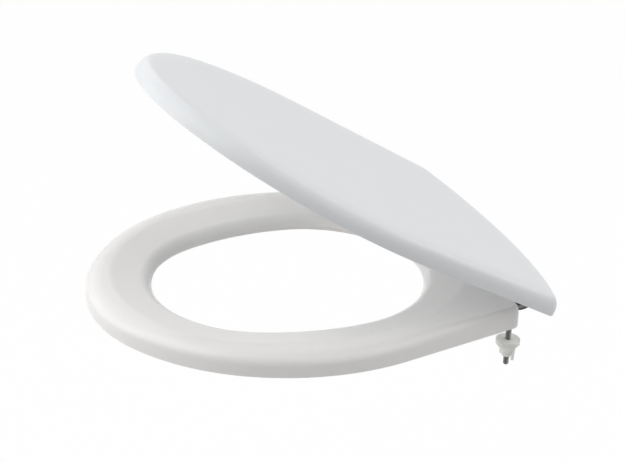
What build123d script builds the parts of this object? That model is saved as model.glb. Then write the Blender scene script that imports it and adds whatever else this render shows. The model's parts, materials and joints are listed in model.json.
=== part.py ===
from build123d import *
from math import asin, atan, cos, degrees, radians, sin, sqrt, tan
import os

# A toilet seat with a lid that laps over the ring, on two metal hinge posts.
# Millimetres. X runs across the seat, -Y is the front and Z points up.
# The origin is midway between the two mounting studs, on the top of the bowl.

# Where the seat sits on the bowl
stud_spacing = 155.0
stud_diameter = 6.0
seat_lift = 12.0
hinge_axis_back = 10.5
hinge_axis_height = 30.5

# The seat ring, seen from above: arcs that run into each other from the front middle
seat_front = 425.3
seat_nose_radius = 152.6
seat_nose_turn = 30.4
seat_cheek_radius = 205.4
seat_cheek_turn = 33.1
seat_side_radius = 239.2
seat_rear_taper = 12.3
seat_rear = 19.5
seat_rear_radius = 1500.0
seat_corner_radius = 11.0

# The seat ring in section: a wall, an edge that rolls over to a ridge, and a dish down to the opening
seat_height = 23.2
seat_wall = 4.0
seat_roll_width = 16.0
seat_roll_height = 12.0
seat_rear_roll_width = 5.0
seat_roll_fade = 5.0
seat_ridge_corner_radius = 6.0
seat_ridge_radius = 30.0
dish_width = 42.0
dish_depth = 8.0
inner_edge_radius = 15.0
inner_skirt_lift = 7.0

# The opening in the seat: arcs from the front middle, and what is left of the ring round it
ring_front_width = 67.5
ring_rear_width = 58.3
hole_nose_radius = 106.2
hole_nose_turn = 69.65
hole_side_radius = 241.3

# Ribs under the seat and under the lid
rib_thickness = 2.5
seat_rib_count = 12
seat_rib_setback = 2.0
lid_rib_height = 2.0
lid_rib_length = 150.0

# The lid, which follows the seat's front and has its own sides and rear
lid_overlap_gap = 2.8
lid_skirt = 2.6
lid_plate = 3.0
lid_height = 19.0
lid_below_seat_top = 12.7
lid_side_radius = 256.2
lid_rear_taper = 7.25
lid_rear = 39.0
lid_rear_radius = 395.0
lid_corner_radius = 12.0
lid_roll_width = 10.0
lid_roll_height = 16.0
lid_crown_width = 26.0
lid_crown_height = 3.0
lid_open_angle = 30.6

# How finely the rolled edges are drawn
roll_steps = 7
crown_steps = 7

# The hinge: post in the middle, the seat's lug inside it and the lid's lug outside it
pin_diameter = 6.0
pin_clearance = 0.06
knuckle_gap = 1.0
post_width = 13.0
post_foot_front = 8.0
post_foot_rear = 5.0
post_foot_height = 3.0
post_eye_radius = 6.5
stud_depth_in_post = 8.0
seat_lug_width = 9.0
lid_lug_width = 10.0
lug_radius = 6.8
lid_lug_root = 16.0
hinge_notch_gap = 3.0
hinge_notch_rise = 1.0
bush_wall = 1.4
bush_flange = 0.8
bush_flange_width = 1.2
bush_clearance = 0.02
pin_side_play = 0.2
pin_head_radius = 4.8
pin_head_height = 2.4
pin_head_edge = 1.0
pin_groove_depth = 0.7
pin_end = 2.0
pin_end_chamfer = 0.6
clip_thickness = 0.9
clip_radius = 4.6
clip_slot = 4.2
clip_clearance = 0.03

# The feet of the hinge
base_radius = 20.0
base_thickness = 3.5
base_edge_radius = 1.4
gasket_thickness = 2.5
gasket_inset = 0.4
stud_clearance = 0.05

# The studs and their nuts
stud_reach = 74.5
stud_point = 1.4
nut_drop = 44.0
nut_clearance = 0.30
nut_flange_radius = 12.8
nut_flange_height = 4.6
nut_cone_height = 8.5
nut_body_radius = 6.9
nut_body_end_radius = 5.0
nut_body_height = 6.5
nut_edge_radius = 0.8
nut_waist_radius = 5.0
nut_turn = 15.0
wing_thickness = 1.8
wing_reach = 11.4
wing_end_reach = 10.2
wing_gap = 2.4
wing_drop = 2.0
wing_corner_radius = 0.8

# The rubber bumpers
bumper_radius = 8.0
bumper_top_radius = 7.0
bumper_edge = 1.5
bumper_stem_radius = 2.9
bumper_stem_length = 7.0
bumper_socket_gap = 0.1
boss_wall = 1.5
boss_drop = 2.0
front_bumper_inset = 31.0
front_bumper_angle = 40.0
rear_bumper_across = 108.0
rear_bumper_back = 62.0
lid_bumper_radius = 5.0
lid_bumper_inset = 22.0
lid_bumper_angle = 58.0
lid_bumper_gap = 0.1
lid_bumper_edge = 0.6
lid_bumper_stem_radius = 1.6
lid_bumper_stem_length = 2.0
lid_boss_drop = 1.2
lid_boss_margin = 0.8

# Heights and places that follow from the sizes above
seat_bottom = seat_lift
seat_top = seat_lift + seat_height
lid_bottom = seat_top - lid_below_seat_top
lid_top = lid_bottom + lid_height
lid_inside = lid_top - lid_plate
lid_offset = lid_overlap_gap + lid_skirt
pin_radius = pin_diameter / 2
stud_radius = stud_diameter / 2
bore_radius = pin_radius + pin_clearance
bush_radius = bore_radius + bush_wall
lug_bore_radius = bush_radius + bush_clearance
base_top = gasket_thickness + base_thickness
post_x = stud_spacing / 2
seat_lug_outer = post_x - post_width / 2 - knuckle_gap
seat_lug_inner = seat_lug_outer - seat_lug_width
lid_lug_inner = post_x + post_width / 2 + knuckle_gap
lid_lug_outer = lid_lug_inner + lid_lug_width
hinge_axis = Axis((0, hinge_axis_back, hinge_axis_height), (-1, 0, 0))

# The opening's front, its length and how far its side arc turns before the rear arc closes it
hole_front = seat_front - ring_front_width
hole_length = hole_front - seat_rear - ring_rear_width
nose_turned = radians(hole_nose_turn)
side_span = hole_nose_radius * (1 - cos(nose_turned)) + hole_side_radius * (1 + cos(nose_turned))
side_spread = (hole_side_radius - hole_nose_radius) * sin(nose_turned)
side_turned = 2 * atan(side_spread / (side_span - hole_length))
hole_side_turn = degrees(side_turned) - hole_nose_turn
hole_half_width = hole_nose_radius * sin(nose_turned)
hole_half_width += hole_side_radius * (sin(side_turned) - sin(nose_turned))
hole_rear_radius = hole_half_width / sin(side_turned)


def half_outline(front, nose, nose_turn, cheek, cheek_turn, side, taper, rear, rear_radius):
    """The right half of an outline, from the front middle round to the rear middle."""
    first = JernArc((0, -front), (1, 0), nose, nose_turn)
    second = JernArc(first @ 1, first % 1, cheek, cheek_turn)
    third = JernArc(second @ 1, second % 1, side, 90 + taper - nose_turn - cheek_turn)
    start = third @ 1
    way = third % 1
    centre = rear - rear_radius
    from_centre = (start.X, start.Y - centre)
    along = from_centre[0] * way.X + from_centre[1] * way.Y
    reach = sqrt(along ** 2 - from_centre[0] ** 2 - from_centre[1] ** 2 + rear_radius ** 2) - along
    corner = start + way * reach
    straight = Line(start, corner)
    turn = degrees(asin(corner.X / rear_radius))
    last = JernArc(corner, (-cos(radians(turn)), sin(radians(turn))), rear_radius, turn)
    return [first, second, third, straight, last]


def outline(corner_radius, *sizes):
    """A whole outline as a face, mirrored about the middle, with its two rear corners rounded."""
    half = Curve() + half_outline(*sizes)
    face = make_face(half + mirror(half, Plane.YZ))
    return fillet(face.vertices().sort_by(Axis.Y)[-2:], corner_radius)


def hole_outline(grow):
    """The opening in the seat, grown outward by an amount. Its rear arc closes the curve."""
    first = JernArc((0, -hole_front - grow), (1, 0), hole_nose_radius + grow, hole_nose_turn)
    second = JernArc(first @ 1, first % 1, hole_side_radius + grow, hole_side_turn)
    third = JernArc(second @ 1, second % 1, hole_rear_radius + grow, 180 - hole_nose_turn - hole_side_turn)
    half = Curve() + [first, second, third]
    return make_face(half + mirror(half, Plane.YZ))


def seat_outline(shrink, rear_shrink, fade, corner_radius):
    """The seat's outline, drawn in by an amount that fades along the sides, and by another at the rear."""
    return outline(
        corner_radius,
        seat_front - shrink,
        seat_nose_radius - shrink,
        seat_nose_turn,
        seat_cheek_radius - shrink,
        seat_cheek_turn,
        seat_side_radius - shrink,
        seat_rear_taper - fade,
        -seat_rear - rear_shrink,
        seat_rear_radius - rear_shrink,
    )


def lid_outline(shrink, corner_radius):
    """The lid's outline, drawn in by an amount. Its front lies outside the seat's by the overlap."""
    grown = lid_offset - shrink
    return outline(
        corner_radius,
        seat_front + grown,
        seat_nose_radius + grown,
        seat_nose_turn,
        seat_cheek_radius + grown,
        seat_cheek_turn,
        lid_side_radius - shrink,
        lid_rear_taper,
        lid_rear - shrink,
        lid_rear_radius - shrink,
    )


def edge_place(angle, inset):
    """A place on the right, in from the seat's edge, at an angle seen from the nose arc's centre."""
    centre = Vector(0, seat_nose_radius - seat_front)
    towards = Vector(sin(radians(angle)), -cos(radians(angle)))
    ray = Line(centre, centre + towards * seat_front)
    edge = seat_outline(0, 0, 0, seat_corner_radius).wire()
    edge_point = ray.intersect(edge).vertices().sort_by_distance(centre)[-1]
    place = Vector(edge_point.X, edge_point.Y) - towards * inset
    return (place.X, place.Y)


def side_edges(solid, height):
    """The edges of a solid that lie at one height."""
    return solid.edges().filter_by(lambda edge: abs(edge.bounding_box().min.Z - height) < 0.01
                                   and abs(edge.bounding_box().max.Z - height) < 0.01)


def edges_near(edges, line):
    """Those edges whose middles lie on a line."""
    return edges.filter_by(lambda edge: line.distance_to(edge @ 0.5) < 0.02)


def dish(top, grow):
    """The sloping hollow in the seat's top, from the ridge down to the opening."""
    low = Pos(0, 0, top - dish_depth) * hole_outline(grow)
    high = Pos(0, 0, top) * hole_outline(grow + dish_width)
    return loft([low, high], ruled=True) + extrude(high, seat_height)


def rolled(bottom, wall_top, faces):
    """A solid with an upright wall that runs on smoothly through the faces above it."""
    lead = (wall_top - bottom) / 4
    wall_faces = [Pos(0, 0, -lead * steps) * faces[0] for steps in (2, 1)]
    return loft(wall_faces + faces) + extrude(wall_faces[0], 2 * lead + bottom - wall_top)


def seat_body(shrink, top):
    """The ring's solid form with its rolled outer edge and dished top, without the opening."""
    wall_top = seat_top - seat_roll_height
    faces = []
    for step in range(roll_steps + 1):
        angle = radians(90 * step / roll_steps)
        inward = 1 - cos(angle)
        face = seat_outline(
            shrink + (seat_roll_width - shrink) * inward,
            shrink + (seat_rear_roll_width - shrink) * inward,
            seat_roll_fade * inward,
            seat_corner_radius - shrink + (seat_ridge_corner_radius - seat_corner_radius) * inward,
        )
        faces.append(Pos(0, 0, wall_top + (top - wall_top) * sin(angle)) * face)
    return rolled(seat_bottom, wall_top, faces) - dish(top, shrink)


def lid_body(shrink, top):
    """The lid's form with its rolled edge and softly crowned top, drawn in by an amount."""
    width = lid_roll_width - shrink
    height = lid_roll_height - shrink
    crown = lid_crown_width - shrink
    slope = 2 * lid_crown_height * (crown - width) / crown ** 2
    roll_end = atan(height / (width * slope))
    roll_inset = width * (1 - cos(roll_end))
    roll_top = top - lid_crown_height * (1 - roll_inset / crown) ** 2
    wall_top = roll_top - height * sin(roll_end)
    profile = []
    for step in range(roll_steps + 1):
        angle = roll_end * step / roll_steps
        profile.append((width * (1 - cos(angle)), wall_top + height * sin(angle)))
    for step in range(1, crown_steps + 1):
        inset = roll_inset + (crown - roll_inset) * step / crown_steps
        profile.append((inset, top - lid_crown_height * (1 - inset / crown) ** 2))
    corner = lid_corner_radius - shrink
    faces = [Pos(0, 0, level) * lid_outline(shrink + inset, corner) for inset, level in profile]
    return rolled(lid_bottom, wall_top, faces)


def lug_profile(radius, low, high):
    """A round knuckle on the hinge axis that runs straight to a root between two corners."""
    root = Rectangle(high[0] - low[0], high[1] - low[1], align=Align.MIN)
    root = Pos(*low) * root
    knuckle = Pos(hinge_axis_back, hinge_axis_height) * Circle(radius)
    return make_hull(root.edges() + knuckle.edges())


def across(face, x_low, x_high):
    """A side-view face drawn out across the seat between two places."""
    return extrude(Plane.YZ.offset(x_low) * face, x_high - x_low)


def hinge_disc(radius):
    """A round face on the hinge axis, in side view."""
    return Pos(hinge_axis_back, hinge_axis_height) * Circle(radius)


def both_sides(shape):
    """A shape on the right side and its mirror image on the left."""
    return [shape, mirror(shape, Plane.YZ)]


# The seat ring: an open shell with skirts
dish_slope = atan(dish_depth / dish_width)
inner_room = (seat_height - dish_depth) / tan((radians(90) - dish_slope) / 2)
inner_edge = min(inner_edge_radius, inner_room)
outer_form = seat_body(0, seat_top)
ridge_line = (Pos(0, 0, seat_top) * hole_outline(dish_width)).wire()
outer_form = fillet(edges_near(side_edges(outer_form, seat_top), ridge_line), seat_ridge_radius)
hollow_form = seat_body(seat_wall, seat_top - seat_wall) - extrude(hole_outline(seat_wall), seat_top)
hollow_edges = side_edges(hollow_form, seat_top - seat_wall - dish_depth)
hollow_form = fillet(hollow_edges, inner_edge - seat_wall)
opening = extrude(hole_outline(0), seat_top)
seat_ring = outer_form - opening
seat_ring = fillet(side_edges(seat_ring, seat_top - dish_depth), inner_edge)
seat_ring -= hollow_form
seat_ring -= extrude(hole_outline(seat_wall), seat_bottom + inner_skirt_lift)

# Ribs run across the ring's underside, all round
ring_middle = hole_nose_radius - hole_front
rib_bottom = seat_bottom + inner_skirt_lift + seat_rib_setback
rib_stock = Box(seat_front, rib_thickness, seat_height, align=(Align.MIN, Align.CENTER, Align.MIN))
rib_turn = 360 / seat_rib_count
for number in range(seat_rib_count):
    rib = Pos(0, ring_middle, rib_bottom) * Rot(0, 0, rib_turn * (number + 0.5)) * rib_stock
    seat_ring += rib & hollow_form

# The four bumper bosses under the ring and the bumpers that push into them
bumper_places = {
    "front": edge_place(front_bumper_angle, front_bumper_inset),
    "rear": (rear_bumper_across, -rear_bumper_back),
}
boss_bottom = seat_bottom + boss_drop
socket_radius = bumper_stem_radius + bumper_socket_gap
socket_length = bumper_stem_length + bumper_socket_gap
pad = loft([Circle(bumper_radius).face(), (Pos(0, 0, boss_bottom) * Circle(bumper_top_radius)).face()])
pad = fillet(side_edges(pad, 0), bumper_edge)
stem = Pos(0, 0, boss_bottom) * extrude(Circle(bumper_stem_radius), bumper_stem_length)
seat_bumpers = {}
for name, place in bumper_places.items():
    boss = Pos(*place, boss_bottom) * extrude(Circle(bumper_top_radius + boss_wall), seat_height)
    socket = Pos(*place, boss_bottom) * extrude(Circle(socket_radius), socket_length)
    for boss_side, socket_side in zip(both_sides(boss), both_sides(socket)):
        seat_ring += boss_side & hollow_form
        seat_ring -= socket_side
    seat_bumpers[name] = Pos(*place, 0) * (pad + stem)

# The seat's lugs reach back from its rear wall to the hinge pins
seat_lug_x = (seat_lug_inner + seat_lug_outer) / 2
seat_rear_at_lug = -seat_rear - seat_rear_radius + sqrt(seat_rear_radius ** 2 - seat_lug_x ** 2)
lug_low = (seat_rear_at_lug - 0.9 * seat_wall, boss_bottom)
lug_high = (seat_rear_at_lug - 0.3 * seat_wall, seat_top - seat_roll_height)
seat_lug = across(lug_profile(lug_radius, lug_low, lug_high), seat_lug_inner, seat_lug_outer)
seat_lug_bore = across(hinge_disc(lug_bore_radius), seat_lug_inner - 1, seat_lug_outer + 1)
for lug_side, bore_side in zip(both_sides(seat_lug), both_sides(seat_lug_bore)):
    seat_ring += lug_side
    seat_ring -= bore_side

# The lid, drawn closed on the seat
lid_hollow = lid_body(lid_skirt, lid_inside)
lid = lid_body(0, lid_top) - lid_hollow

# Notches in the lid's rear for the hinge feet
notch_half_width = base_radius + hinge_notch_gap
notch_front = hinge_axis_back - post_eye_radius
notch_top = hinge_axis_height + post_eye_radius + hinge_notch_rise
notch_face = Pos((notch_front + lid_rear + 1) / 2, (lid_bottom - 1 + notch_top) / 2) * Rectangle(
    lid_rear + 1 - notch_front, notch_top - lid_bottom + 1)
notch = across(notch_face, post_x - notch_half_width, post_x + notch_half_width)
for notch_side in both_sides(notch):
    lid -= notch_side

# The lid's lugs hang from its plate, each with a low rib that runs forward
lid_root_low = (hinge_axis_back - lid_lug_root / 2, notch_top - hinge_notch_rise)
lid_root_high = (hinge_axis_back + lid_lug_root / 2, lid_inside + lid_plate / 3 - lid_crown_height / 3)
lid_lug = across(lug_profile(lug_radius, lid_root_low, lid_root_high), lid_lug_inner, lid_lug_outer)
lid_lug_bore = across(hinge_disc(lug_bore_radius), lid_lug_inner - 1, lid_lug_outer + 1)
lid_rib_x = (lid_lug_inner + lid_lug_outer) / 2
lid_rib = Pos(lid_rib_x, hinge_axis_back, lid_inside - lid_rib_height) * Box(
    rib_thickness, lid_rib_length, lid_plate, align=(Align.CENTER, Align.MAX, Align.MIN))
for rib_side in both_sides(lid_rib):
    lid += rib_side & lid_hollow
for lug_side, bore_side in zip(both_sides(lid_lug), both_sides(lid_lug_bore)):
    lid += lug_side
    lid -= bore_side

# The lid's bumpers, on small pads under the plate
lid_bumper_place = edge_place(lid_bumper_angle, lid_bumper_inset)
lid_pad_bottom = lid_inside - lid_boss_drop
lid_bumper_bottom = seat_top + lid_bumper_gap
lid_pad = Pos(*lid_bumper_place, lid_pad_bottom) * extrude(
    Circle(lid_bumper_radius + lid_boss_margin), lid_boss_drop + lid_plate / 2)
lid_socket = Pos(*lid_bumper_place, lid_pad_bottom) * extrude(
    Circle(lid_bumper_stem_radius + bumper_socket_gap), lid_bumper_stem_length + bumper_socket_gap)
for pad_side, socket_side in zip(both_sides(lid_pad), both_sides(lid_socket)):
    lid += pad_side & lid_hollow
    lid -= socket_side
lid_bumper = extrude(Circle(lid_bumper_radius), lid_pad_bottom - lid_bumper_bottom)
lid_bumper = fillet(side_edges(lid_bumper, 0), lid_bumper_edge)
lid_bumper += Pos(0, 0, lid_pad_bottom - lid_bumper_bottom) * extrude(
    Circle(lid_bumper_stem_radius), lid_bumper_stem_length)
lid_bumper = Pos(*lid_bumper_place, lid_bumper_bottom) * lid_bumper

# The hinge posts, their feet and the rubber rings under them
post_low = (-post_foot_front, base_top)
post_high = (post_foot_rear, base_top + post_foot_height)
post_face = lug_profile(post_eye_radius, post_low, post_high)
hinge_post = across(post_face, post_x - post_width / 2, post_x + post_width / 2)
hinge_post -= across(hinge_disc(bore_radius), post_x - post_width, post_x + post_width)
stud_hole = extrude(Circle(stud_radius + stud_clearance), base_top + stud_depth_in_post + stud_clearance)
hinge_post -= Pos(post_x, 0, 0) * stud_hole
base_plate = Pos(0, 0, gasket_thickness) * extrude(Circle(base_radius), base_thickness)
base_plate = fillet(side_edges(base_plate, base_top), base_edge_radius)
base_plate = Pos(post_x, 0, 0) * (base_plate - stud_hole)
base_gasket = extrude(Circle(base_radius - gasket_inset), gasket_thickness)
base_gasket = Pos(post_x, 0, 0) * (base_gasket - stud_hole)

# The studs, with a pointed end
stud_length = stud_reach + base_top + stud_depth_in_post
stud = Pos(0, 0, -stud_reach) * extrude(Circle(stud_radius), stud_length)
stud = chamfer(side_edges(stud, -stud_reach), stud_point)
stud = Pos(post_x, 0, 0) * stud

# The wing nuts: a turned body with a wide flange, and two wings that reach past its end
flange_bottom = -nut_drop - nut_flange_height
cone_bottom = flange_bottom - nut_cone_height
body_bottom = cone_bottom - nut_body_height
nut_bore = stud_radius + nut_clearance
nut_profile = make_face(Polyline(
    (nut_bore, -nut_drop),
    (nut_flange_radius, -nut_drop),
    (nut_flange_radius, flange_bottom),
    (nut_body_radius, cone_bottom),
    (nut_body_end_radius, body_bottom),
    (nut_bore, body_bottom),
    close=True,
))
flange_corners = nut_profile.vertices().sort_by(Axis.X)[-2:]
nut_profile = fillet(flange_corners, nut_edge_radius)
waist = nut_profile.vertices().sort_by_distance((nut_body_radius, cone_bottom))[0]
nut_profile = fillet(waist, nut_waist_radius)
nut = revolve(Plane.XZ * nut_profile, Axis.Z)
wing_top = flange_bottom + nut_edge_radius
wing_inner = nut_body_end_radius + wing_gap
wing_face = make_face(Polyline(
    (wing_inner, wing_top),
    (wing_reach, wing_top),
    (wing_end_reach, body_bottom - wing_drop),
    (wing_inner, body_bottom - wing_drop),
    close=True,
))
wing_face = fillet(wing_face.vertices().sort_by(Axis.Y)[:2], wing_corner_radius)
wing = across(wing_face, -wing_thickness / 2, wing_thickness / 2)
nut += wing
nut += mirror(wing, Plane.XZ)
nut = Pos(post_x, 0, 0) * Rot(0, 0, nut_turn - 90) * nut

# The hinge pins, with a head outside, and a clip in a groove at the inner end
clip_outer = seat_lug_inner - pin_side_play
clip_inner = clip_outer - clip_thickness
pin_start = clip_inner - pin_end
head_start = lid_lug_outer + pin_side_play
pin = across(hinge_disc(pin_radius), pin_start, head_start)
pin = chamfer(pin.edges().sort_by(Axis.X)[0], pin_end_chamfer)
head = across(hinge_disc(pin_head_radius), head_start, head_start + pin_head_height)
head = fillet(head.edges().sort_by(Axis.X)[-1], pin_head_edge)
pin += head
groove_face = hinge_disc(pin_radius + 1) - hinge_disc(pin_radius - pin_groove_depth)
pin -= across(groove_face, clip_inner - clip_clearance, clip_outer + clip_clearance)
clip_hole = pin_radius - pin_groove_depth + clip_clearance
clip_face = hinge_disc(clip_radius) - hinge_disc(clip_hole)
clip_face -= Pos(hinge_axis_back, hinge_axis_height - clip_radius) * Rectangle(clip_slot, 2 * clip_radius)
clip = across(clip_face, clip_inner, clip_outer)

# Flanged bushes in the lugs, with their flanges towards the post
bush_face = hinge_disc(bush_radius) - hinge_disc(bore_radius)
flange_face = hinge_disc(bush_radius + bush_flange_width) - hinge_disc(bore_radius)
seat_bush = across(bush_face, seat_lug_inner, seat_lug_outer)
seat_bush += across(flange_face, seat_lug_outer, seat_lug_outer + bush_flange)
lid_bush = across(bush_face, lid_lug_inner, lid_lug_outer)
lid_bush += across(flange_face, lid_lug_inner - bush_flange, lid_lug_inner)

# Every piece by name, with the lid's pieces opened about the hinge
opened = [lid, lid_bush, lid_bumper]
lid, lid_bush, lid_bumper = [shape.rotate(hinge_axis, lid_open_angle) for shape in opened]
pieces = {"seat_ring": seat_ring, "lid": lid}
paired = {
    "hinge_post": hinge_post,
    "base_plate": base_plate,
    "base_gasket": base_gasket,
    "stud": stud,
    "nut": nut,
    "hinge_pin": pin,
    "pin_clip": clip,
    "seat_bush": seat_bush,
    "lid_bush": lid_bush,
    "front_bumper": seat_bumpers["front"],
    "rear_bumper": seat_bumpers["rear"],
    "lid_bumper": lid_bumper,
}
for name, shape in paired.items():
    right, left = both_sides(shape)
    pieces[f"right_{name}"] = right
    pieces[f"left_{name}"] = left

os.makedirs("parts", exist_ok=True)
for name, shape in pieces.items():
    export_step(shape, f"parts/{name}.step")
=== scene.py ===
# %% [markdown]
# # A white toilet seat with its lid half open
#
# The seat is two glossy white mouldings, a ring and a lid that laps over it, on two metal hinge
# posts with threaded studs and plastic wing nuts. This lesson dresses the solid model: it gives
# each piece its finish, cuts the threads and lights the seat like a catalogue picture.

# %% Open the solid model
import json
import math

import bpy
from mathutils import Matrix, Vector


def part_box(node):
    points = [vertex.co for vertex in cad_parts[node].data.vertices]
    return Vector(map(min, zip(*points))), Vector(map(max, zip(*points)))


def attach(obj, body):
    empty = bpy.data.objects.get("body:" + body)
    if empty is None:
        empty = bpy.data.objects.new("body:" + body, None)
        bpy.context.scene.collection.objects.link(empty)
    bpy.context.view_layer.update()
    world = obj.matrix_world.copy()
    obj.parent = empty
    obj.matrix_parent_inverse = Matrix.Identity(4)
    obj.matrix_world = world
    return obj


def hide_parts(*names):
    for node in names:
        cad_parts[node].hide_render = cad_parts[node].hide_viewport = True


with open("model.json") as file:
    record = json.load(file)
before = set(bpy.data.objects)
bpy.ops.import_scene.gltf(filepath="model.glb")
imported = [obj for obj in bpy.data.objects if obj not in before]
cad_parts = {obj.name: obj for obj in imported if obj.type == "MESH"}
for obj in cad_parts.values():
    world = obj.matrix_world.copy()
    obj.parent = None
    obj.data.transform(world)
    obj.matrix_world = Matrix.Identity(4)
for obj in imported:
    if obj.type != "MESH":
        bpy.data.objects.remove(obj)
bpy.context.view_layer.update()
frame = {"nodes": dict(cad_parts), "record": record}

# %% [markdown]
# ## Shader maths as plain expressions
#
# A moulded surface is never one number: its gloss wanders a little and its skin has a faint
# ripple. Such patterns are sums and products of noise. Wiring each Math node by hand hides the
# idea, so a small class wraps a socket and turns Python's operators into nodes.


# %% A socket that takes part in sums
class Wire:
    """One output socket of a node tree, which can be added, multiplied and so on."""

    def __init__(self, tree, socket):
        self.tree = tree
        self.socket = socket

    def math(self, operation, left, right=0.0):
        return node(self.tree, "ShaderNodeMath", {"operation": operation}, {0: left, 1: right})

    def __add__(self, other):
        return self.math("ADD", self, other)

    __radd__ = __add__

    def __sub__(self, other):
        return self.math("SUBTRACT", self, other)

    def __rsub__(self, other):
        return self.math("SUBTRACT", other, self)

    def __mul__(self, other):
        return self.math("MULTIPLY", self, other)

    def __truediv__(self, other):
        return self.math("DIVIDE", self, other)

    def __gt__(self, other):
        return self.math("GREATER_THAN", self, other)

    def __lt__(self, other):
        return self.math("LESS_THAN", self, other)

    def __abs__(self):
        return self.math("ABSOLUTE", self)

    def clamped(self):
        return self.math("MINIMUM", self.math("MAXIMUM", self, 0.0), 1.0)


def node(tree, kind, settings, inputs, output=0):
    """Adds one node, sets it up and returns one of its outputs as a wire."""
    made = tree.nodes.new(kind)
    for name, value in settings.items():
        setattr(made, name, value)
    for name, value in inputs.items():
        if isinstance(value, Wire):
            tree.links.new(value.socket, made.inputs[name])
        else:
            made.inputs[name].default_value = value
    return Wire(tree, made.outputs[output])


print("made", Wire.__name__, "and", node.__name__)

# %% [markdown]
# ## The parts of a finish
#
# Every finish starts with an empty material and the piece's own coordinates, so that a pattern
# stays on its piece when the piece moves. Noise and mixed colours come up in each of them, so they
# get a short name here. A Mix node holds its colours at fixed places among its sockets.


# %% Short names for what each finish needs
def new_material(name):
    """An empty material with its own node tree, its shader and its object coordinates."""
    material = bpy.data.materials.new(name)
    material.use_nodes = True
    tree = material.node_tree
    shader = tree.nodes["Principled BSDF"]
    place = node(tree, "ShaderNodeTexCoord", {}, {}, "Object")
    return material, tree, shader, place


def feed(tree, shader, name, wire):
    """Links a wire to one of the shader's sockets."""
    tree.links.new(wire.socket, shader.inputs[name])


def noise(tree, place, scale, detail):
    """A noise pattern: the larger the scale, the finer it is."""
    inputs = {"Vector": place, "Scale": scale, "Detail": detail}
    return node(tree, "ShaderNodeTexNoise", {}, inputs)


def blend(tree, amount, first, second):
    """The first colour where the amount is 0, the second where it is 1."""
    sockets = {0: amount, 6: first, 7: second}
    return node(tree, "ShaderNodeMix", {"data_type": "RGBA"}, sockets, 2)


def bumps(tree, height, strength, distance):
    """A normal that makes a pattern look raised by a distance in metres."""
    inputs = {"Strength": strength, "Distance": distance, "Height": height}
    return node(tree, "ShaderNodeBump", {}, inputs)


print("finish helpers", [f.__name__ for f in (new_material, feed, noise, blend, bumps)])

# %% [markdown]
# ## Glossy white plastic
#
# The ring and the lid are moulded from the same thick white plastic with a polished skin. Close up
# the skin has a slow ripple from cooling, and the tint and the gloss are a little uneven. One wide
# noise does all three. A finer one would be smaller than a dot of the picture and only look dirty.
# The ring's white is warmed as painted warm light, and the lid's is cooled and darkened as painted
# cool light and shade.

# %% White mouldings
RIPPLE_SCALE = 18.0
RIPPLE_DETAIL = 2.0
RIPPLE_HEIGHT = 0.0004
GLOSS_SPREAD = 0.08
PLASTIC_IOR = 1.5
# Painted light: the ring's white is warmed and the lid's cooled and darkened, though both are one
# plastic.
SEAT_WHITE_WARM_LIGHT = (0.850, 0.836, 0.820, 1.0)
SEAT_TINT_WARM_LIGHT = (0.860, 0.846, 0.830, 1.0)
LID_WHITE_COOL_SHADE = (0.742, 0.760, 0.778, 1.0)
LID_TINT_COOL_SHADE = (0.752, 0.770, 0.788, 1.0)
NUT_WHITE = (0.80, 0.80, 0.77, 1.0)
NUT_TINT = (0.82, 0.82, 0.79, 1.0)
BUSH_WHITE = (0.62, 0.62, 0.60, 1.0)


def moulded_plastic(name, colour, tint, roughness, ripple):
    """White plastic with a slow ripple, a faint change of tint and an uneven gloss."""
    material, tree, shader, place = new_material(name)
    wide = noise(tree, place, RIPPLE_SCALE, RIPPLE_DETAIL)
    feed(tree, shader, "Base Color", blend(tree, wide, colour, tint))
    feed(tree, shader, "Roughness", roughness - GLOSS_SPREAD / 2 + wide * GLOSS_SPREAD)
    feed(tree, shader, "Normal", bumps(tree, wide, ripple, RIPPLE_HEIGHT))
    shader.inputs["IOR"].default_value = PLASTIC_IOR
    return material


seat_plastic = moulded_plastic("seat_plastic", SEAT_WHITE_WARM_LIGHT, SEAT_TINT_WARM_LIGHT, roughness=0.24, ripple=0.04)
lid_plastic = moulded_plastic("lid_plastic", LID_WHITE_COOL_SHADE, LID_TINT_COOL_SHADE, roughness=0.30, ripple=0.04)
nut_plastic = moulded_plastic("nut_plastic", NUT_WHITE, NUT_TINT, roughness=0.42, ripple=0.10)
nylon = moulded_plastic("nylon", BUSH_WHITE, NUT_TINT, roughness=0.45, ripple=0.10)
print("white finishes", [m.name for m in (seat_plastic, lid_plastic, nut_plastic, nylon)])

# %% [markdown]
# ## Plated and plain metal
#
# The posts and feet are plated metal that looks dark and streaked. Their dark tone is partly the
# plating's own and partly a painted dark reflection of the seat's underside above them. The pins
# are plain steel. Both get patches in their colour, and streaks in their gloss from a noise that is
# squeezed in height.

# %% Metals
PATCH_SCALE = 220.0
PATCH_DETAIL = 4.0
STREAK_SQUEEZE = (1.0, 1.0, 12.0)
STREAK_SCALE = 300.0
STREAK_DETAIL = 3.0
STREAK_SPREAD = 0.16
# The hinge tones are kept dark partly as painted reflection of the dark underside above the posts.
HINGE_BRIGHT = (0.24, 0.24, 0.24, 1.0)
HINGE_DARK = (0.08, 0.08, 0.082, 1.0)
PIN_BRIGHT = (0.50, 0.50, 0.50, 1.0)
PIN_DULL = (0.40, 0.40, 0.40, 1.0)


def worn_metal(name, colour, dull, roughness):
    """Metal with darker patches and fine streaks round it."""
    material, tree, shader, place = new_material(name)
    patches = noise(tree, place, PATCH_SCALE, PATCH_DETAIL)
    squeezed = node(tree, "ShaderNodeMapping", {}, {"Vector": place, "Scale": STREAK_SQUEEZE})
    streaks = noise(tree, squeezed, STREAK_SCALE, STREAK_DETAIL)
    feed(tree, shader, "Base Color", blend(tree, patches, colour, dull))
    feed(tree, shader, "Roughness", roughness - STREAK_SPREAD / 2 + streaks * STREAK_SPREAD)
    shader.inputs["Metallic"].default_value = 1.0
    return material


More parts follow.
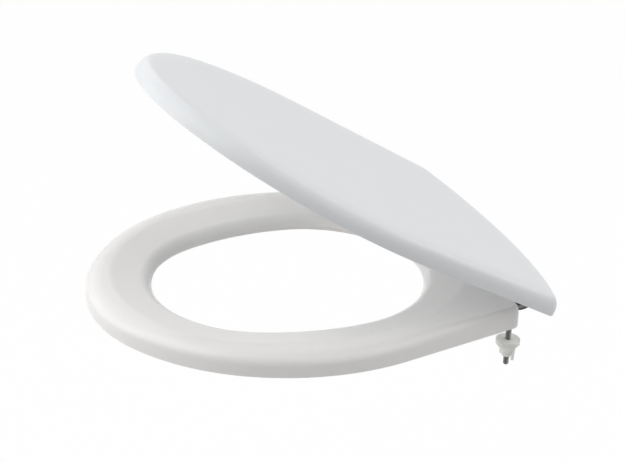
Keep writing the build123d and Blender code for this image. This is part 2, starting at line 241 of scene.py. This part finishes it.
hinge_metal = worn_metal("hinge_metal", HINGE_BRIGHT, HINGE_DARK, roughness=0.26)
pin_steel = worn_metal("pin_steel", PIN_BRIGHT, PIN_DULL, roughness=0.30)
print("metals", hinge_metal.name, pin_steel.name)

# %% [markdown]
# ## Steel of the threads
#
# The studs are plain steel that has dulled to a dark grey. A thread holds dirt at its roots and is
# worn bright along its crests, and the roots also get painted shade, so the finish asks the mesh
# how near each point is to a crest. Patches of noise break up the line between the two.

# %% Thread finish
PITTING_SCALE = 420.0
PITTING_DETAIL = 4.0
CREST_SHARE = 0.7
PITTING_SHARE = 0.3
ROOT_ROUGHNESS = 0.55
CREST_POLISH = 0.22
# The root colour is dirt with painted shade in the thread's hollows.
THREAD_ROOT = (0.10, 0.10, 0.098, 1.0)
THREAD_CREST = (0.27, 0.27, 0.265, 1.0)


def thread_steel(name, root, crest):
    """Dull steel whose thread is dark at its roots from dirt and painted shade, and worn brighter
    along its crests.
    """
    material, tree, shader, place = new_material(name)
    height = node(tree, "ShaderNodeAttribute", {"attribute_name": "crest"}, {}, "Fac")
    patches = noise(tree, place, PITTING_SCALE, PITTING_DETAIL)
    # Dark at the roots with dirt and painted shade, brighter at the crests with wear.
    wear_and_root_shade = height * CREST_SHARE + patches * PITTING_SHARE
    feed(tree, shader, "Base Color", blend(tree, wear_and_root_shade, root, crest))
    feed(tree, shader, "Roughness", ROOT_ROUGHNESS - wear_and_root_shade * CREST_POLISH)
    shader.inputs["Metallic"].default_value = 1.0
    return material


stud_steel = thread_steel("stud_steel", THREAD_ROOT, THREAD_CREST)
print("thread finish", stud_steel.name)

# %% [markdown]
# ## Rubber
#
# The gaskets under the feet are black rubber, and the bumpers are pale so that they leave no marks
# on a bowl. Both are matt with a fine grain, which one noise gives to colour, gloss and height.

# %% Rubbers
GRAIN_SCALE = 1400.0
GRAIN_DETAIL = 3.0
GRAIN_STRENGTH = 0.25
GRAIN_HEIGHT = 0.0002
RUBBER_ROUGHNESS = 0.55
RUBBER_SPREAD = 0.2
GASKET_BLACK = (0.035, 0.035, 0.036, 1.0)
GASKET_TINT = (0.05, 0.05, 0.05, 1.0)
BUMPER_WHITE = (0.62, 0.62, 0.60, 1.0)
BUMPER_TINT = (0.68, 0.68, 0.66, 1.0)


def soft_rubber(name, colour, tint):
    """Matt rubber with a fine grain."""
    material, tree, shader, place = new_material(name)
    grain = noise(tree, place, GRAIN_SCALE, GRAIN_DETAIL)
    feed(tree, shader, "Base Color", blend(tree, grain, colour, tint))
    feed(tree, shader, "Roughness", RUBBER_ROUGHNESS + grain * RUBBER_SPREAD)
    feed(tree, shader, "Normal", bumps(tree, grain, GRAIN_STRENGTH, GRAIN_HEIGHT))
    return material


gasket_rubber = soft_rubber("gasket_rubber", GASKET_BLACK, GASKET_TINT)
bumper_rubber = soft_rubber("bumper_rubber", BUMPER_WHITE, BUMPER_TINT)
print("rubbers", gasket_rubber.name, bumper_rubber.name)

# %% [markdown]
# ## A finish for every piece
#
# The record names a material slot for each piece of the solid model. One table from slot to finish
# dresses them all, and no piece can be forgotten.

# %% Give every piece its finish
FINISHES = {
    "seat_plastic": seat_plastic,
    "lid_plastic": lid_plastic,
    "nut_plastic": nut_plastic,
    "nylon": nylon,
    "hinge_metal": hinge_metal,
    "stud_steel": stud_steel,
    "pin_steel": pin_steel,
    "rubber": gasket_rubber,
    "bumper_rubber": bumper_rubber,
}
for part in frame["record"]["subparts"]:
    piece = frame["nodes"][part["node"]]
    piece.data.materials.clear()
    piece.data.materials.append(FINISHES[part["material_slot"]])

# %% [markdown]
# ## Threaded studs
#
# The studs are lengths of M6 steel rod, threaded from end to end with a pitch of 1 mm. A ridge
# could be swept along a spiral, but its foot would cut through the rod. Here one sheet is rolled
# into a tube instead, and each point's distance from the axis follows a wave that climbs one pitch
# in one turn, so the thread is a single closed skin. Geometry Nodes does the rolling, with the
# sizes as inputs, and keeps how near each point is to a crest for the finish.

# %% A sheet rolled into a threaded rod
ROD_SIZES = {
    "Radius": 0.003,
    "Depth": 0.0006,
    "Pitch": 0.001,
    "Length": 0.08,
    "Point": 0.0014,
    "Across": 0.0,
    "Bottom": 0.0,
    "Around": 32.0,
    "Rows per Turn": 8.0,
}
FLANK_STEEPNESS = 1.5
SEAM_REACH = 0.00002


def threaded_rod(material):
    """A Geometry Nodes tree for an upright threaded rod with a chamfered lower end."""
    tree = bpy.data.node_groups.new("threaded_rod", "GeometryNodeTree")
    for name, value in ROD_SIZES.items():
        given = tree.interface.new_socket(name, in_out="INPUT", socket_type="NodeSocketFloat")
        given.default_value = value
    tree.interface.new_socket("Rod", in_out="OUTPUT", socket_type="NodeSocketGeometry")
    start = tree.nodes.new("NodeGroupInput")
    size = {name: Wire(tree, start.outputs[name]) for name in ROD_SIZES}

    # The first and the last row of points shrink to the axis and close the rod's ends.
    rows = size["Length"] / size["Pitch"] * size["Rows per Turn"] + 3.0
    sheet = node(tree, "GeometryNodeMeshGrid", {}, {
        "Size X": 1.0,
        "Size Y": 1.0,
        "Vertices X": size["Around"] + 1.0,
        "Vertices Y": rows,
    }, "Mesh")
    spot = node(tree, "GeometryNodeInputPosition", {}, {})
    turn = node(tree, "ShaderNodeSeparateXYZ", {}, {0: spot}, "X") + 0.5
    row = (node(tree, "ShaderNodeSeparateXYZ", {}, {0: spot}, "Y") + 0.5) * (rows - 1.0)
    along = ((row - 1.0) / (rows - 3.0)).clamped() * size["Length"]

    # The wave runs from root to crest and back, with a flat at either end.
    phase = turn.math("FRACT", along / size["Pitch"] - turn)
    wave = abs(phase * 2.0 - 1.0)
    crest = (wave * FLANK_STEEPNESS - (FLANK_STEEPNESS - 1.0) / 2).clamped()
    full = size["Radius"] - size["Depth"] + crest * size["Depth"]
    pointed = full.math("MINIMUM", full, size["Radius"] - size["Point"] + along)
    radius = pointed * (row > 0.5) * (row < rows - 1.5)
    angle = turn * (2 * math.pi)
    rolled = node(tree, "ShaderNodeCombineXYZ", {}, {
        "X": turn.math("COSINE", angle) * radius + size["Across"],
        "Y": turn.math("SINE", angle) * radius,
        "Z": along + size["Bottom"],
    })
    rod = node(tree, "GeometryNodeStoreNamedAttribute", {"data_type": "FLOAT", "domain": "POINT"}, {
        "Geometry": sheet,
        "Name": "crest",
        "Value": crest,
    })
    rod = node(tree, "GeometryNodeSetPosition", {}, {"Geometry": rod, "Position": rolled})
    rod = node(tree, "GeometryNodeMergeByDistance", {}, {"Geometry": rod, "Distance": SEAM_REACH})
    rod = node(tree, "GeometryNodeSetShadeSmooth", {}, {"Geometry": rod, "Shade Smooth": True})
    rod = node(tree, "GeometryNodeRealizeInstances", {}, {"Geometry": rod})
    rod = node(tree, "GeometryNodeSetMaterial", {}, {"Geometry": rod, "Material": material})
    result = tree.nodes.new("NodeGroupOutput")
    tree.links.new(rod.socket, result.inputs["Rod"])
    return tree


rod_tree = threaded_rod(stud_steel)
print(rod_tree.name, "nodes", len(rod_tree.nodes))

# %% [markdown]
# ## The studs in their places
#
# The tree runs once for each side, with the sizes of the plain rod that it replaces. The result is
# kept as a plain mesh, so the stud can be exported and moved like any other piece.


# %% The two studs in place of the plain rods
def made_by(tree, name, sizes):
    """Runs a tree with these sizes and keeps the result as a plain mesh."""
    piece = bpy.data.objects.new(name, bpy.data.meshes.new(name + "_start"))
    bpy.context.scene.collection.objects.link(piece)
    maker = piece.modifiers.new("maker", "NODES")
    maker.node_group = tree
    for item in tree.interface.items_tree:
        if item.in_out == "INPUT" and item.name in sizes:
            maker[item.identifier] = sizes[item.name]
    seen = piece.evaluated_get(bpy.context.evaluated_depsgraph_get())
    mesh = bpy.data.meshes.new_from_object(seen)
    piece.modifiers.remove(maker)
    piece.data = mesh
    mesh.name = name
    return piece


for side in ("right", "left"):
    low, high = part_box(f"{side}_stud")
    stud = made_by(rod_tree, f"{side}_threaded_stud", {
        "Radius": (high[0] - low[0]) / 2,
        "Length": high[2] - low[2],
        "Across": (low[0] + high[0]) / 2,
        "Bottom": low[2],
    })
    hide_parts(f"{side}_stud")
    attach(stud, "hinges")
    print(stud.name, "points", len(stud.data.vertices), "faces", len(stud.data.polygons))

# %% [markdown]
# ## The camera
#
# The picture was taken from the seat's right, a little in front, with a long lens and a small
# roll. The view is built from those angles, so each number can be read on its own.

# %% Camera at the picture's angle
PICTURE_WIDTH = 625
FOCAL_PIXELS = 2006.1
SENSOR_MM = 36.0
VIEW_TURN = math.radians(67.53)
VIEW_RISE = math.radians(26.60)
VIEW_ROLL = math.radians(2.63)
VIEW_DISTANCE = 2.0320
VIEW_TARGET = Vector((0.0009, -0.1937, 0.0714))

backward = Vector((
    math.sin(VIEW_TURN) * math.cos(VIEW_RISE),
    -math.cos(VIEW_TURN) * math.cos(VIEW_RISE),
    math.sin(VIEW_RISE),
))
level_right = (-backward).cross(Vector((0, 0, 1))).normalized()
level_up = level_right.cross(-backward)
right = level_right * math.cos(VIEW_ROLL) + level_up * math.sin(VIEW_ROLL)
up = level_up * math.cos(VIEW_ROLL) - level_right * math.sin(VIEW_ROLL)
lens = bpy.data.cameras.new("camera")
lens.sensor_fit = "HORIZONTAL"
lens.sensor_width = SENSOR_MM
lens.lens = SENSOR_MM * FOCAL_PIXELS / PICTURE_WIDTH
camera = bpy.data.objects.new("camera", lens)
turned = Matrix((right, up, backward)).transposed().to_4x4()
camera.matrix_world = Matrix.Translation(VIEW_TARGET + backward * VIEW_DISTANCE) @ turned
bpy.context.scene.collection.objects.link(camera)
bpy.context.scene.camera = camera
print("lens", round(lens.lens, 1), "mm")

# %% [markdown]
# ## The ground
#
# The picture has a bare white ground. A pale floor lies as far below the seat as a bowl is high.
# Seen directly it glows almost white, with a little of its own shading left for the shadow. The
# glow also shows where the gloss mirrors the floor, but it sends no other light to the seat.

# %% Floor
FLOOR_DROP = 0.40
FLOOR_SIZE = 12.0
FLOOR_GREY = (0.85, 0.85, 0.85, 1.0)
FLOOR_ROUGHNESS = 0.9
FLOOR_GLOW = 0.98
PURE_WHITE = (1.0, 1.0, 1.0, 1.0)


def seen_directly(tree):
    """1 for rays from the camera, from a mirror or through glass, and 0 for the rest."""
    path = tree.nodes.new("ShaderNodeLightPath")
    camera_ray = Wire(tree, path.outputs["Is Camera Ray"])
    glossy_ray = Wire(tree, path.outputs["Is Glossy Ray"])
    transmission_ray = Wire(tree, path.outputs["Is Transmission Ray"])
    return camera_ray.math("MINIMUM", camera_ray + glossy_ray + transmission_ray, 1.0)


half = FLOOR_SIZE / 2
floor_mesh = bpy.data.meshes.new("floor")
floor_corners = [
    (-half, -half, -FLOOR_DROP),
    (half, -half, -FLOOR_DROP),
    (half, half, -FLOOR_DROP),
    (-half, half, -FLOOR_DROP),
]
floor_mesh.from_pydata(floor_corners, [], [(0, 1, 2, 3)])
floor = bpy.data.objects.new("floor", floor_mesh)
bpy.context.scene.collection.objects.link(floor)
floor_paint, floor_tree, floor_shader, _ = new_material("floor_paint")
floor_shader.inputs["Base Color"].default_value = FLOOR_GREY
floor_shader.inputs["Roughness"].default_value = FLOOR_ROUGHNESS
glow = node(floor_tree, "ShaderNodeEmission", {}, {"Color": PURE_WHITE, "Strength": 1.0})
mix = floor_tree.nodes.new("ShaderNodeMixShader")
floor_tree.links.new((seen_directly(floor_tree) * FLOOR_GLOW).socket, mix.inputs[0])
floor_tree.links.new(floor_shader.outputs[0], mix.inputs[1])
floor_tree.links.new(glow.socket, mix.inputs[2])
floor_tree.links.new(mix.outputs[0], floor_tree.nodes["Material Output"].inputs["Surface"])
floor_mesh.materials.append(floor_paint)
print("floor", FLOOR_SIZE, "m wide at", -FLOOR_DROP, "m")

# %% [markdown]
# ## The sky
#
# All round the floor there is white to look at, but only a little light comes from it. Most of the
# light on the seat is left to the lamps, which give the white plastic its shades of grey.

# %% Sky
SKY_STRENGTH = 0.08

world = bpy.data.worlds.new("studio")
world.use_nodes = True
bpy.context.scene.world = world
sky_tree = world.node_tree
strength = seen_directly(sky_tree) * (1.0 - SKY_STRENGTH) + SKY_STRENGTH
sky = sky_tree.nodes["Background"]
sky.inputs["Color"].default_value = PURE_WHITE
sky_tree.links.new(strength.socket, sky.inputs["Strength"])
print("sky", SKY_STRENGTH, "for light and 1 to look at")

# %% [markdown]
# ## The lamps
#
# The light is soft and strongest from the front, so that the rolled front edges are palest and the
# near sides fall to grey. Six wide softboxes stand round the seat at one distance. Each is given by
# its turn from the front towards the right, its rise above the seat and its power.

# %% Lamps
LAMP_AIM = Vector((0.0, -0.2, 0.07))
LAMP_DISTANCE = 2.2
LAMP_SIZE = 2.2
LAMPS = {
    "front_lamp": (0, 38, 23.5),
    "front_high_lamp": (0, 65, 11.0),
    "front_left_low_lamp": (330, 8, 17.0),
    "left_lamp": (285, 38, 8.5),
    "rear_lamp": (180, 38, 21.3),
    "right_rear_lamp": (120, 38, 15.1),
}


def softbox(name, turn, rise, power):
    """A square lamp that faces the seat, with turn and rise in degrees and power in watts."""
    lamp = bpy.data.lights.new(name, "AREA")
    lamp.size = LAMP_SIZE
    lamp.energy = power
    held = bpy.data.objects.new(name, lamp)
    turn = math.radians(turn)
    rise = math.radians(rise)
    level = Vector((math.sin(turn), -math.cos(turn), 0.0))
    away = level * math.cos(rise) + Vector((0.0, 0.0, math.sin(rise)))
    held.location = LAMP_AIM + away * LAMP_DISTANCE
    held.rotation_euler = (-away).to_track_quat("-Z", "Y").to_euler()
    bpy.context.scene.collection.objects.link(held)


for name, (turn, rise, power) in LAMPS.items():
    softbox(name, turn, rise, power)
bpy.context.scene.view_settings.view_transform = "Standard"
